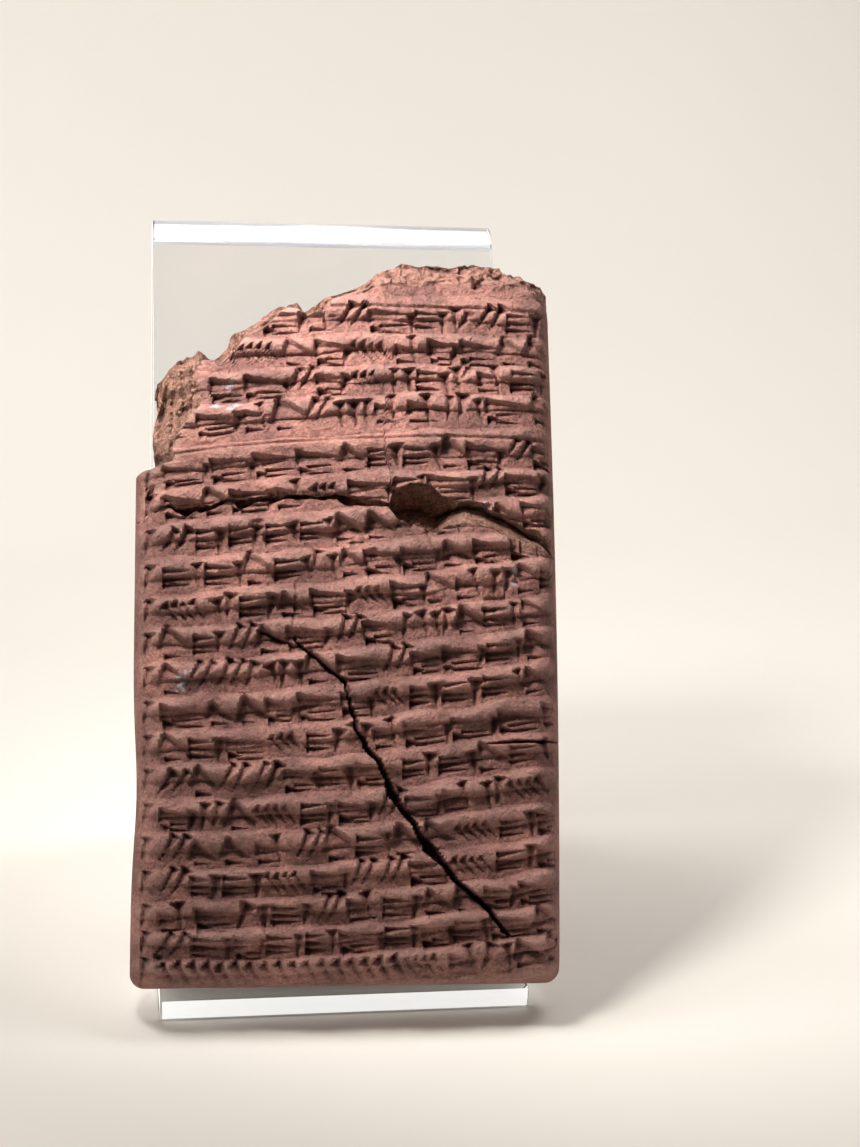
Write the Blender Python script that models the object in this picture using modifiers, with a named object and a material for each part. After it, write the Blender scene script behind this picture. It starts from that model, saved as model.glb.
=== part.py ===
"""A fired clay cuneiform tablet, broken in two, standing on a bent clear acrylic stand.

The tablet is shaped upright in its own frame: X across the face, Y from the face to the back,
Z up the face, with the middle of its thickness at Y = 0 and its bottom edge at Z = 0. An empty
then turns it, leans it back and seats it on the stand. The stand's origin is the middle of its
foot's underside, and the front of everything looks along -Y. Sizes are in metres.
"""

import math
import random

import bmesh
import bpy
from mathutils import Euler, Matrix, Vector, noise

# The tablet: overall sizes
TABLET_WIDTH = 0.0778
TABLET_HEIGHT = 0.1345
TABLET_THICKNESS = 0.0270
FACE_CROWN = 0.0026
BACK_CROWN = 0.0036
EDGE_ROUND = 0.0056
CORNER_ROUND = 0.0020
RIGHT_WIDEST = 0.40
WAIST_DEPTH = 0.0008
DENT_DEPTH = 0.0005
DENT_WIDTH = 0.0160

# The writing: rows of pressed strokes with a soft ridge between them
FIRST_ROW = 0.0026
ROW_PITCH = 0.00593
ROW_SLOPE = math.radians(1.0)
RIDGE_HEIGHT = 0.0011
RULED_AFTER = {16: 0.0039, 20: 0.0020}
RULING_ABOVE_ROW = 0.0037
RULING_WIDTH = 0.0009
RULING_DEPTH = 0.0006
MARGIN = 0.0030
WRITING_FADE = 0.0015
STROKE_LENGTH = 0.0056
STROKE_WIDTH = 0.0026
STROKE_DEPTH = 0.0015
STROKE_GAP = 0.0016
STROKE_SEED = 21

# The breaks, as shares of half the width and of the height
TOP_BREAK = (
    (-1.00, 0.775), (-0.87, 0.805), (-0.70, 0.848), (-0.58, 0.834), (-0.46, 0.862), (-0.31, 0.893),
    (-0.22, 0.912), (-0.13, 0.900), (0.00, 0.925), (0.15, 0.937), (0.25, 0.968), (0.60, 0.976),
    (0.95, 0.966), (1.00, 0.955),
)
LEFT_BREAK_START = 0.630
LEFT_BREAK_RISE = 0.050
LEFT_BREAK_DEPTH = 0.0036
SCAR_WIDTH = 0.0080
SCAR_NARROW_WIDTH = 0.0028
SCAR_WIDENS = (0.700, 0.780)
SCAR_DROP = 0.0085
CROSS_BREAK = (
    (-1.10, 0.616), (-0.82, 0.634), (-0.74, 0.620), (-0.60, 0.632), (-0.20, 0.640), (0.05, 0.636),
    (0.25, 0.626), (0.50, 0.622), (0.72, 0.600), (0.88, 0.572), (1.10, 0.552),
)
BREAK_GAP = 0.0003
BREAK_MOUTH = 0.0010
BREAK_MOUTH_DEPTH = 0.0060
PIT_LEFT = 0.20
PIT_RIGHT = 0.86
PIT_RISE = 0.0034
PIT_FALL = 0.0022
PIT_DEPTH = 0.0105
ROUGHNESS = 0.0009
ROUGHNESS_GRAIN = 0.0050

# The long crack down the lower fragment: it is a deep groove and doesn't reach the back
CRACK = (
    (-0.24, 0.495), (-0.24, 0.446), (-0.05, 0.398), (0.00, 0.386), (0.05, 0.325), (0.18, 0.260),
    (0.24, 0.226), (0.35, 0.182), (0.50, 0.130), (0.61, 0.105), (0.75, 0.060),
)
CRACK_WIDTH = 0.0011
CRACK_END_WIDTH = 0.0003
CRACK_DEPTH = 0.0080

# The mesh of the tablet before it is thinned, and of the break that cuts it
BREAK_COLUMNS = 30
BREAK_LAYERS = 10
GRID_STEP = 0.00075
EDGE_LAYERS = 10
CORNER_COLUMNS = 6
KEPT_SHARE = 0.077

# The stand: one sheet, bent at the foot and over the top
SHEET = 0.0040
STAND_WIDTH = 0.0670
FOOT_DEPTH = 0.0150
PLATE_LENGTH = 0.1375
PLATE_LEAN = math.radians(20.0)
LEG_LEAN = math.radians(12.0)
INNER_BEND = 0.0015
BEND_STEPS = 8
SHEET_EDGE_BEVEL = 0.0003

# How the tablet stands on it
SEAT_GAP = 0.0003
TABLET_TURN = math.radians(-3.0)

CLAY = (0.300, 0.138, 0.098, 1.0)
ACRYLIC = (0.90, 0.94, 0.95, 1.0)


def smooth_step(low, high, value):
    """0 below low, 1 above high, and an even curve between."""
    share = min(max((value - low) / (high - low), 0.0), 1.0)
    return share * share * (3.0 - 2.0 * share)


def along(points, across, half_width=TABLET_WIDTH / 2, height=TABLET_HEIGHT):
    """Height of a break line at a distance across, its points given as shares."""
    share = across / half_width
    for (left, low), (right, high) in zip(points, points[1:]):
        if share <= right:
            return height * (low + (high - low) * max(share - left, 0.0) / (right - left))
    return height * points[-1][1]


def grain(x, y, z):
    """Rough broken clay: noise with lumps of about ROUGHNESS_GRAIN."""
    place = Vector((x, y, z)) / ROUGHNESS_GRAIN
    return ROUGHNESS * (noise.noise(place) + 0.5 * noise.noise(place * 2.3))


def row_heights():
    """Heights of the rows of strokes up the face, from the bottom edge."""
    heights = []
    height = FIRST_ROW
    while height < TABLET_HEIGHT:
        heights.append(height)
        height += ROW_PITCH + RULED_AFTER.get(len(heights), 0.0)
    return heights


def rulings():
    """Heights of the lines ruled across the face under some of the rows."""
    heights = row_heights()
    return [heights[count - 1] + RULING_ABOVE_ROW for count in RULED_AFTER if count <= len(heights)]


def strokes():
    """Wedge strokes in rows, as (across, up, direction, length, width, depth). They spell nothing."""
    chance = random.Random(STROKE_SEED)
    marks = []
    for height in row_heights():
        across = MARGIN - TABLET_WIDTH / 2
        while across < TABLET_WIDTH / 2 - MARGIN:
            up = height + across * math.tan(ROW_SLOPE)
            kind = chance.choice(("flat", "flat", "upright", "hook"))
            length = STROKE_LENGTH * chance.uniform(0.8, 1.2)
            if kind == "flat":
                lift, direction, room = 0.0, chance.uniform(-0.15, 0.15), 0.8 * length
            elif kind == "upright":
                lift, direction, room = 0.4 * ROW_PITCH, -math.pi / 2, STROKE_WIDTH
            else:
                lift, direction, room = 0.0, chance.choice((-0.8, 0.8)), 0.6 * length
            marks.append((across, up + lift, direction, length, STROKE_WIDTH, STROKE_DEPTH))
            across += room + STROKE_GAP
    return marks


def stroke_depth(mark, across, up):
    """Depth of one wedge at a point: a steep head that tapers to a thin tail."""
    start, level, direction, length, width, depth = mark
    run = (across - start) * math.cos(direction) + (up - level) * math.sin(direction)
    side = abs((up - level) * math.cos(direction) - (across - start) * math.sin(direction))
    steep = 0.35 * width
    if run < -steep or run > length:
        return 0.0
    taper = 1.0 - max(run, 0.0) / length
    head = 1.0 + min(run, 0.0) / steep
    return depth * taper * head * max(0.0, 1.0 - side / (0.5 * width * (0.35 + 0.65 * taper)))


class Writing:
    """The pressed relief of the face: ridges, ruled lines and strokes."""

    def __init__(self):
        self.rows = row_heights()
        self.rulings = rulings()
        self.bands = {}
        for mark in strokes():
            self.bands.setdefault(int(mark[1] / ROW_PITCH), []).append(mark)

    def relief(self, across, up):
        """How far the face stands out (or in) at a point."""
        level = up - across * math.tan(ROW_SLOPE)
        away = min(abs(level - row) for row in self.rows)
        ridge = 0.5 - 0.5 * math.cos(2.0 * math.pi * min(away / ROW_PITCH, 0.5))
        relief = RIDGE_HEIGHT * (ridge - 0.5)
        for line in self.rulings:
            relief -= RULING_DEPTH * max(0.0, 1.0 - abs(level - line) / RULING_WIDTH)
        band = int(up / ROW_PITCH)
        marks = (mark for near in (band - 1, band, band + 1) for mark in self.bands.get(near, ()))
        return relief - max((stroke_depth(mark, across, up) for mark in marks), default=0.0)


def left_break(up):
    """0 along the whole lower part of the left side, 1 where the side is broken away above it."""
    return smooth_step(LEFT_BREAK_START, LEFT_BREAK_START + LEFT_BREAK_RISE, up / TABLET_HEIGHT)


def left_edge(up):
    """Outline on the reader's left: a shallow waist, and set back above the cross break."""
    share = up / TABLET_HEIGHT
    waist = WAIST_DEPTH * math.exp(-((share - 0.26) / 0.09) ** 2)
    return -TABLET_WIDTH / 2 + waist + LEFT_BREAK_DEPTH * left_break(up)


def right_edge(up):
    """Outline on the reader's right: it spreads a little from the foot to the middle."""
    share = min(max(up / TABLET_HEIGHT + 0.5 - RIGHT_WIDEST, 0.0), 1.0)
    return TABLET_WIDTH / 2 - WAIST_DEPTH * (1.0 - math.sin(math.pi * share))


def crown(across, up):
    """1 in the middle of a face, falling to 0 at its edges."""
    sideways = min(abs(2.0 * across / TABLET_WIDTH), 1.0)
    lengthways = min(abs(2.0 * up / TABLET_HEIGHT - 1.0), 1.0)
    return (1.0 - sideways ** 2.5) * (1.0 - lengthways ** 3)


def scar(across, up):
    """Share, 0 to 1, of the broken slope that took away the upper left of the face."""
    share = up / TABLET_HEIGHT
    width = SCAR_NARROW_WIDTH + (SCAR_WIDTH - SCAR_NARROW_WIDTH) * smooth_step(*SCAR_WIDENS, share)
    slope = 1.0 - min(max((across - left_edge(up)) / width, 0.0), 1.0)
    return slope * left_break(up)


def face_height(writing, across, up):
    """Distance of the face from the middle of the thickness."""
    height = TABLET_THICKNESS / 2 - FACE_CROWN * (1.0 - crown(across, up))
    broken = scar(across, up)
    if broken > 0.0:
        return height + broken * (2.0 * grain(across, 0.0, up) - SCAR_DROP)
    inside = smooth_step(0.0, WRITING_FADE, min(across - left_edge(up), right_edge(up) - across))
    return height + writing.relief(across, up) * inside


def back_height(across, up):
    """Distance of the back from the middle of the thickness: plainer, with soft dents."""
    dents = DENT_DEPTH * noise.noise(Vector((across, TABLET_THICKNESS, up)) / DENT_WIDTH)
    return TABLET_THICKNESS / 2 - BACK_CROWN * (1.0 - crown(across, up)) + dents


def column(share, left, right):
    """Distance across of a column, with the columns drawn together at the rounded corners."""
    corner = CORNER_COLUMNS / columns_across()
    near = min(share, 1.0 - share)
    if near < corner:
        inset = CORNER_ROUND * (1.0 - math.cos(0.5 * math.pi * near / corner))
    else:
        inset = CORNER_ROUND + (near - corner) / (0.5 - corner) * ((right - left) / 2 - CORNER_ROUND)
    return left + inset if share <= 0.5 else right - inset


def columns_across():
    return round(TABLET_WIDTH / GRID_STEP) + 2 * CORNER_COLUMNS


def tablet_point(writing, share_across, share_up, layer):
    """Where a point of a unit box skin goes; layer runs from -1 on the face to 1 on the back."""
    turn = 0.5 * math.pi * layer
    side = 2.0 * share_across - 1.0
    top = along(TOP_BREAK, side * TABLET_WIDTH / 2)
    top += grain(side * TABLET_WIDTH, layer * TABLET_THICKNESS, 0.0)
    up = EDGE_ROUND + share_up * (top - EDGE_ROUND)
    kept = 1.0 - left_break(up)
    left = left_edge(up) + EDGE_ROUND * kept
    right = right_edge(up) - EDGE_ROUND
    across = column(share_across, left, right)
    lean = corner_share(across, left, right)
    level = math.sqrt(1.0 - lean * lean)
    up += (1.0 - share_up) * CORNER_ROUND * (1.0 - level)
    out = EDGE_ROUND * math.cos(turn) * (kept if share_across < 0.5 else 1.0)
    if share_up == 0.0:
        across += math.copysign(out * lean, side)
        up -= out * level
    else:
        across += out * side
    if layer < 0.0:
        depth = face_height(writing, across, up) * math.sin(turn)
    else:
        depth = back_height(across, up) * math.sin(turn)
    return Vector((across, depth, up))


def corner_share(across, left, right):
    """0 along the straight bottom edge, rising to 1 at the end of a rounded corner."""
    inset = min(across - left, right - across)
    return min(max(1.0 - inset / CORNER_ROUND, 0.0), 1.0)


def box_skin(columns, layers, rows):
    """The skin of a unit cube, cut into an even grid on every side."""
    skin = bmesh.new()
    bmesh.ops.create_cube(skin, size=1.0)
    for axis, count in ((0, columns), (1, layers), (2, rows)):
        edges = [edge for edge in skin.edges
                 if abs(edge.verts[0].co[axis] - edge.verts[1].co[axis]) > 0.5]
        bmesh.ops.subdivide_edges(skin, edges=edges, cuts=count - 1, use_grid_fill=True)
    return skin


def tablet_mesh():
    """The whole surviving tablet, before the cross break parts it."""
    writing = Writing()
    skin = box_skin(columns_across(), EDGE_LAYERS, round(TABLET_HEIGHT / GRID_STEP))
    for vert in skin.verts:
        share_across, layer, share_up = vert.co.x + 0.5, 2.0 * vert.co.y, vert.co.z + 0.5
        share_up = 0.0 if share_up < 1e-6 else share_up
        vert.co = tablet_point(writing, share_across, share_up, layer)
    bmesh.ops.triangulate(skin, faces=skin.faces)
    mesh = bpy.data.meshes.new("tablet")
    skin.to_mesh(mesh)
    skin.free()
    return mesh


def break_height(across, depth, side):
    """Height of the cross break on its upper (side 1) or lower (side -1) fragment."""
    inward = smooth_step(0.0, BREAK_MOUTH_DEPTH, depth + TABLET_THICKNESS / 2)
    middle = along(CROSS_BREAK, across) + grain(across, depth, 0.0)
    gap = BREAK_GAP + BREAK_MOUTH * (1.0 - inward)
    share = 2.0 * across / TABLET_WIDTH
    pit = math.sin(math.pi * min(max((share - PIT_LEFT) / (PIT_RIGHT - PIT_LEFT), 0.0), 1.0))
    pit *= 1.0 - smooth_step(0.4 * PIT_DEPTH, PIT_DEPTH, depth + TABLET_THICKNESS / 2)
    widening = PIT_RISE if side > 0 else PIT_FALL
    return middle + side * (0.5 * gap + widening * pit)


def break_cutter(name, side, collection):
    """A block that takes away all of the tablet on one side of the cross break."""
    reach = 0.6 * TABLET_WIDTH
    deep = 0.6 * TABLET_THICKNESS
    skin = box_skin(BREAK_COLUMNS, BREAK_LAYERS, 1)
    for vert in skin.verts:
        across, depth = 2.0 * reach * vert.co.x, 2.0 * deep * vert.co.y
        end = 1.2 * TABLET_HEIGHT if side > 0 else -0.2 * TABLET_HEIGHT
        at_break = (vert.co.z < 0.0) == (side > 0)
        vert.co = (across, depth, break_height(across, depth, -side) if at_break else end)
    bmesh.ops.triangulate(skin, faces=skin.faces)
    return add_object(name, skin, collection, None)


def crack_cutter(collection):
    """A thin, bent blade along the long crack, wide in its middle and fine at its ends."""
    path = [Vector((x * TABLET_WIDTH / 2, z * TABLET_HEIGHT)) for x, z in CRACK]
    sides = ([], [])
    for index, point in enumerate(path):
        heading = (path[min(index + 1, len(path) - 1)] - path[max(index - 1, 0)]).normalized()
        middle = math.sin(math.pi * index / (len(path) - 1))
        half = 0.5 * (CRACK_END_WIDTH + (CRACK_WIDTH - CRACK_END_WIDTH) * middle)
        across = Vector((-heading.y, heading.x)) * half
        sides[0].append(point + across)
        sides[1].append(point - across)
    front = -TABLET_THICKNESS
    blade = bmesh.new()
    verts = [blade.verts.new((point.x, front, point.y)) for point in sides[0] + sides[1][::-1]]
    outline = blade.faces.new(verts)
    swept = bmesh.ops.extrude_face_region(blade, geom=[outline])["geom"]
    deep = [item for item in swept if isinstance(item, bmesh.types.BMVert)]
    back = CRACK_DEPTH - TABLET_THICKNESS / 2
    bmesh.ops.translate(blade, vec=(0.0, back - front, 0.0), verts=deep)
    bmesh.ops.triangulate(blade, faces=blade.faces)
    bmesh.ops.recalc_face_normals(blade, faces=blade.faces)
    return add_object("crack_cutter", blade, collection, None)


def stand_path():
    """Middle line of the bent sheet as (y, z) points, from the foot's front edge to the leg's end."""
    radius = INNER_BEND + SHEET / 2
    foot_turn = math.pi / 2 - PLATE_LEAN
    top_turn = math.pi - PLATE_LEAN - LEG_LEAN
    straight = FOOT_DEPTH + SHEET / 2 * math.tan(foot_turn / 2) - radius * math.tan(foot_turn / 2)
    place = Vector((-FOOT_DEPTH / 2, SHEET / 2))
    heading = 0.0
    points = [place.copy()]
    for length, turn in ((straight, foot_turn), (PLATE_LENGTH, top_turn)):
        place = place + length * Vector((math.cos(heading), math.sin(heading)))
        points.append(place.copy())
        side = 1.0 if turn == foot_turn else -1.0
        centre = place + side * radius * Vector((-math.sin(heading), math.cos(heading)))
        for step in range(1, BEND_STEPS + 1):
            arc = side * turn * step / BEND_STEPS
            points.append(centre + Matrix.Rotation(arc, 2) @ (place - centre))
        place = points[-1].copy()
        heading += side * turn
    drop = place.y - SHEET / 2 * math.sin(LEG_LEAN)
    points.append(place + drop / math.cos(LEG_LEAN) * Vector((math.cos(heading), math.sin(heading))))
    return points


def add_object(name, shape, collection, material):
    """Put a bmesh into the scene as an object of its own."""
    mesh = bpy.data.meshes.new(name)
    shape.to_mesh(mesh)
    shape.free()
    item = bpy.data.objects.new(name, mesh)
    collection.objects.link(item)
    if material:
        mesh.materials.append(material)
    return item


def add_stand(collection, material):
    """The acrylic stand: a strip along the middle line, made thick and with its sharp edges eased."""
    strip = bmesh.new()
    edge = [strip.verts.new((-STAND_WIDTH / 2, y, z)) for y, z in stand_path()]
    edges = [strip.edges.new(pair) for pair in zip(edge, edge[1:])]
    swept = bmesh.ops.extrude_edge_only(strip, edges=edges)["geom"]
    far = [item for item in swept if isinstance(item, bmesh.types.BMVert)]
    bmesh.ops.translate(strip, vec=(STAND_WIDTH, 0.0, 0.0), verts=far)
    bmesh.ops.recalc_face_normals(strip, faces=strip.faces)
    stand = add_object("acrylic_stand", strip, collection, material)
    sheet = stand.modifiers.new("sheet", "SOLIDIFY")
    sheet.thickness = SHEET
    sheet.offset = 0.0
    sheet.use_even_offset = True
    eased = stand.modifiers.new("eased", "BEVEL")
    eased.width = SHEET_EDGE_BEVEL
    eased.segments = 1
    eased.angle_limit = math.radians(60.0)
    return stand


def add_material(name, colour, roughness, alpha=1.0):
    material = bpy.data.materials.new(name)
    material.use_nodes = True
    shader = material.node_tree.nodes["Principled BSDF"]
    shader.inputs["Base Color"].default_value = colour
    shader.inputs["Roughness"].default_value = roughness
    shader.inputs["Metallic"].default_value = 0.0
    shader.inputs["Alpha"].default_value = alpha
    return material


def add_fragment(name, mesh, cutters, collection, material):
    """One fragment: the whole tablet thinned to fewer faces, then cut along its break and crack."""
    fragment = bpy.data.objects.new(name, mesh.copy())
    collection.objects.link(fragment)
    fragment.data.materials.append(material)
    thinned = fragment.modifiers.new("thinned", "DECIMATE")
    thinned.ratio = KEPT_SHARE
    for cutter in cutters:
        cut = fragment.modifiers.new(cutter.name, "BOOLEAN")
        cut.operation = "DIFFERENCE"
        cut.solver = "EXACT"
        cut.object = cutter
    return fragment


def seat(empty, fragments):
    """Lean the tablet back and move it until it just clears the foot and the plate."""
    turned = Euler((-PLATE_LEAN, 0.0, TABLET_TURN), "XYZ")
    rotation = turned.to_matrix()
    depsgraph = bpy.context.evaluated_depsgraph_get()
    points = [rotation @ vert.co for item in fragments
              for vert in item.evaluated_get(depsgraph).to_mesh().vertices]
    lift = SHEET + SEAT_GAP - min(point.z for point in points)
    forward = Vector((0.0, -math.cos(PLATE_LEAN), math.sin(PLATE_LEAN)))
    corner = Vector((0.0, FOOT_DEPTH / 2, SHEET))
    nearest = min((point + Vector((0.0, 0.0, lift)) - corner).dot(forward) for point in points)
    back = (nearest - SEAT_GAP) / math.cos(PLATE_LEAN)
    empty.rotation_euler = turned
    empty.location = (0.0, back, lift)


def main():
    for item in list(bpy.data.objects):
        bpy.data.objects.remove(item)
    scene = bpy.context.scene
    parts = bpy.data.collections.new("cuneiform_tablet")
    cutters = bpy.data.collections.new("cutters")
    scene.collection.children.link(parts)
    scene.collection.children.link(cutters)
    clay = add_material("fired_clay", CLAY, 0.9)
    acrylic = add_material("clear_acrylic", ACRYLIC, 0.05, 0.3)

    mesh = tablet_mesh()
    above = break_cutter("above_break", 1, cutters)
    below = break_cutter("below_break", -1, cutters)
    crack = crack_cutter(cutters)
    upper = add_fragment("tablet_upper_fragment", mesh, (below,), parts, clay)
    lower = add_fragment("tablet_lower_fragment", mesh, (above, crack), parts, clay)
    bpy.data.meshes.remove(mesh)
    add_stand(parts, acrylic)

    bpy.context.view_layer.update()
    tablet = bpy.data.objects.new("tablet_seat", None)
    parts.objects.link(tablet)
    seat(tablet, (upper, lower))
    for item in (upper, lower, above, below, crack):
        item.parent = tablet
    for cutter in (above, below, crack):
        cutter.hide_render = True
        cutter.display_type = "WIRE"
    bpy.context.view_layer.update()


main()
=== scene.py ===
"""The looks of a fired clay cuneiform tablet, broken in two, on a bent clear acrylic stand.

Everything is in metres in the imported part's frame: the origin is the middle of the underside of
the stand's foot, +Z is up and the written face looks along -Y. The tablet is shaped upright in
its own frame first, with X across the face, Y from the face to the back and Z up the face.
"""

import math
import random

import bmesh
import bpy
import numpy as np
from mathutils import Euler, Matrix, Vector, noise


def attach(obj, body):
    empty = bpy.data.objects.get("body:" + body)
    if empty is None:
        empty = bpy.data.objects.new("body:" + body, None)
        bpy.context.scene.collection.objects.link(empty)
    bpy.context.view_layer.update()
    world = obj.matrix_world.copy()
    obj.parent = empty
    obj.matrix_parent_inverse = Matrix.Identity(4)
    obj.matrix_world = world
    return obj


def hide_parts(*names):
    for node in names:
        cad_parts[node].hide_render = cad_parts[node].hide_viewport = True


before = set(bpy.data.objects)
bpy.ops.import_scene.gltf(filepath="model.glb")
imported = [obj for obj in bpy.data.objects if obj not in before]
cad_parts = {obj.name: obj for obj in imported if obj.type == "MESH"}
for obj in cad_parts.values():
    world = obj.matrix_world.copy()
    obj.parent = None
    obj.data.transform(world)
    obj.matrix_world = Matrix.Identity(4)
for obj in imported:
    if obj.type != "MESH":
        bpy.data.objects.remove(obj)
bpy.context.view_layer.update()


# THE VIEW
# The tablet is seen from a little above and a little to the reader's left, from 35 centimetres,
# through a lens that spans 32 degrees from the top of the frame to its bottom.
VIEW_PLACE = (-0.0421, -0.3418, 0.1541)
VIEW_YAW = math.radians(9.31)
VIEW_PITCH = math.radians(12.12)
VIEW_ROLL = math.radians(1.75)
VIEW_LENS_MM = 62.8

lens = bpy.data.cameras.new("view")
lens.lens = VIEW_LENS_MM
lens.sensor_width = 36.0
lens.sensor_fit = "AUTO"
lens.clip_start = 0.01
view = bpy.data.objects.new("view", lens)
view.matrix_world = (
    Matrix.Translation(VIEW_PLACE)
    @ Matrix.Rotation(-VIEW_YAW, 4, "Z")
    @ Matrix.Rotation(math.pi / 2 - VIEW_PITCH, 4, "X")
    @ Matrix.Rotation(VIEW_ROLL, 4, "Z")
)
bpy.context.scene.collection.objects.link(view)
bpy.context.scene.camera = view
bpy.context.scene.view_settings.view_transform = "Standard"


# THE CLAY TABLET
# A cushion-shaped slab of fine clay, written on while damp and fired red-brown. Its edges are
# rounded, its upper left and top are broken away, and a rough break parts it in two.
TABLET_WIDTH = 0.0778
TABLET_HEIGHT = 0.1345
TABLET_THICKNESS = 0.0270
FACE_CROWN = 0.0026
BACK_CROWN = 0.0036
EDGE_ROUND = 0.0056
CORNER_ROUND = 0.0026
RIGHT_WIDEST = 0.40
WAIST_DEPTH = 0.0008
WAIST_PLACE = 0.26
WAIST_SPREAD = 0.09
TABLET_LEAN = math.radians(20.0)
TABLET_TURN = math.radians(-3.0)
TABLET_PLACE = (0.0, -0.00735, 0.00535)


def smooth_step(low, high, value):
    """0 below low, 1 above high, and an even curve between."""
    share = np.clip((value - low) / (high - low), 0.0, 1.0)
    return share * share * (3.0 - 2.0 * share)


def lumps(x, y, z, size):
    """Soft noise from about -1 to 1, with lumps of this size. A fixed number for y, or for x and y,
    picks a slice of the noise, so that patterns of one size still differ."""
    x, y, z = np.broadcast_arrays(x, y, z)
    places = zip(*((axis / size).ravel().tolist() for axis in (x, y, z)))
    return np.array([noise.noise(place) for place in places]).reshape(x.shape)


def share_line(points, across):
    """Height of a broken line at each distance across; its points are shares of the tablet."""
    shares = np.array(points)
    return TABLET_HEIGHT * np.interp(2.0 * across / TABLET_WIDTH, shares[:, 0], shares[:, 1])


# The upper left side broke away: a rough, layered slope in place of the rounded edge
LEFT_BREAK = (0.684, 0.698)
LEFT_BREAK_DEPTH = 0.0036
SCAR_WIDTH = 0.0080
SCAR_NARROW_WIDTH = 0.0034
SCAR_WIDENS = (0.700, 0.780)
SCAR_DROP = 0.0085
SCAR_START = 0.12


def left_break(up):
    """0 below the broken upper left side and 1 beside it."""
    return smooth_step(*LEFT_BREAK, up / TABLET_HEIGHT)


def left_edge(up):
    """Place of the left outline: a slight waist low down, and jagged where the side is broken."""
    waist = WAIST_DEPTH * np.exp(-((up / TABLET_HEIGHT - WAIST_PLACE) / WAIST_SPREAD) ** 2)
    jagged = 0.0010 * lumps(0.0, 0.013, up, 0.0052) + 0.0005 * lumps(0.0, 0.021, up, 0.0017)
    return -TABLET_WIDTH / 2 + waist + (LEFT_BREAK_DEPTH + jagged) * left_break(up)


def right_edge(up):
    """Place of the right outline, widest a little below its middle."""
    share = np.clip(up / TABLET_HEIGHT + 0.5 - RIGHT_WIDEST, 0.0, 1.0)
    return TABLET_WIDTH / 2 - WAIST_DEPTH * (1.0 - np.sin(math.pi * share))


def crown(across, up):
    """1 in the middle of the face, falling to 0 at its edges."""
    sideways = np.minimum(np.abs(2.0 * across / TABLET_WIDTH), 1.0)
    lengthways = np.minimum(np.abs(2.0 * up / TABLET_HEIGHT - 1.0), 1.0)
    return (1.0 - sideways ** 2.5) * (1.0 - lengthways ** 3)


def scar(across, up):
    """0 on the whole face, rising to 1 at the outer edge of the broken upper left side."""
    widens = smooth_step(*SCAR_WIDENS, up / TABLET_HEIGHT)
    width = SCAR_NARROW_WIDTH + (SCAR_WIDTH - SCAR_NARROW_WIDTH) * widens
    width = width * (1.0 + 0.25 * lumps(0.0, 0.011, up, 0.004))
    slope = 1.0 - np.clip((across - left_edge(up)) / width, 0.0, 1.0)
    return slope * left_break(up)


# The rows of writing: bands of pressed strokes with a smooth rounded ridge between them. Each entry
# is a row's number and the height in millimetres of the foot of its ridge, at the left, the middle
# and the right of the face. The scribe's rows climb to the right.
ROWS = (
    (-1, -3.2, -2.7, 0.3), (0, 3.1, 3.3, 6.2), (2, 12.5, 13.9, 16.8), (4, 24.0, 24.9, 28.8),
    (8, 48.0, 50.1, 54.2), (12, 72.3, 75.0, 78.8), (14, 85.3, 88.0, 90.5), (15, 91.0, 94.1, 95.4),
    (16, 99.6, 102.6, 104.0), (18, 112.3, 114.0, 114.4), (19, 118.6, 120.1, 120.2),
    (20, 127.0, 128.8, 129.0), (21, 134.0, 134.6, 134.6),
)
RULINGS = ((94.6, 97.7, 98.2), (121.2, 122.5, 122.4))
ROW_REACH = 0.0325
RIDGE_HEIGHT = 0.0014
RIDGE_TOP = 0.28
RIDGE_END = 0.56
ROW_WANDER = 0.0009
ROW_WANDER_SIZE = 0.0080
SWELL_SIZE = 0.0060
RULING_WIDTH = 0.0005
RULING_DEPTH = 0.0006
STROKE_SEED = 8


def across_face(heights, across):
    """Curve through heights in millimetres given at the left, the middle and the right."""
    left, middle, right = heights
    share = across / ROW_REACH
    return 1e-3 * (middle + 0.5 * (right - left) * share + (0.5 * (right + left) - middle) * share ** 2)


def row_foot(number, across):
    """Height of the foot of a row's ridge, and its slope."""
    table = np.array(ROWS)
    heights = [np.interp(number, table[:, 0], table[:, column]) for column in (1, 2, 3)]
    near, far = across_face(heights, across - 0.001), across_face(heights, across + 0.001)
    return 0.5 * (near + far), (far - near) / 0.002


def ridges(across, up):
    """Relief of the smooth ridges between the rows, steep below and rounded above."""
    level = up + ROW_WANDER * lumps(across, 0.0, up, ROW_WANDER_SIZE)
    row = np.full(across.shape, float(ROWS[0][0]))
    for (number, *heights), (next_number, *next_heights) in zip(ROWS, ROWS[1:]):
        foot, next_foot = across_face(heights, across), across_face(next_heights, across)
        row += (next_number - number) * np.clip((level - foot) / (next_foot - foot), 0.0, 1.0)
    share = row - np.floor(row)
    rise = np.clip(share / RIDGE_TOP, 0.0, 1.0)
    fall = np.clip((share - RIDGE_TOP) / (RIDGE_END - RIDGE_TOP), 0.0, 1.0)
    ridge = np.sqrt(1.0 - (1.0 - rise) ** 2) * (1.0 - fall ** 2) ** 0.6
    swell = 0.95 + 0.7 * lumps(across, 0.02, up, SWELL_SIZE)
    relief = RIDGE_HEIGHT * (ridge * swell - 0.5)
    for line in RULINGS:
        away = np.abs(up - across_face(line, across))
        relief -= RULING_DEPTH * np.clip(1.0 - away / RULING_WIDTH, 0.0, 1.0)
    return relief


# The kinds of stroke groups, the commoner ones named more often. Sizes in a group are millimetres.
GROUP_KINDS = (
    "box", "box", "box", "triple", "triple", "hooks", "uprights", "slashes", "cross", "corner", "corner",
)


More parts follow.
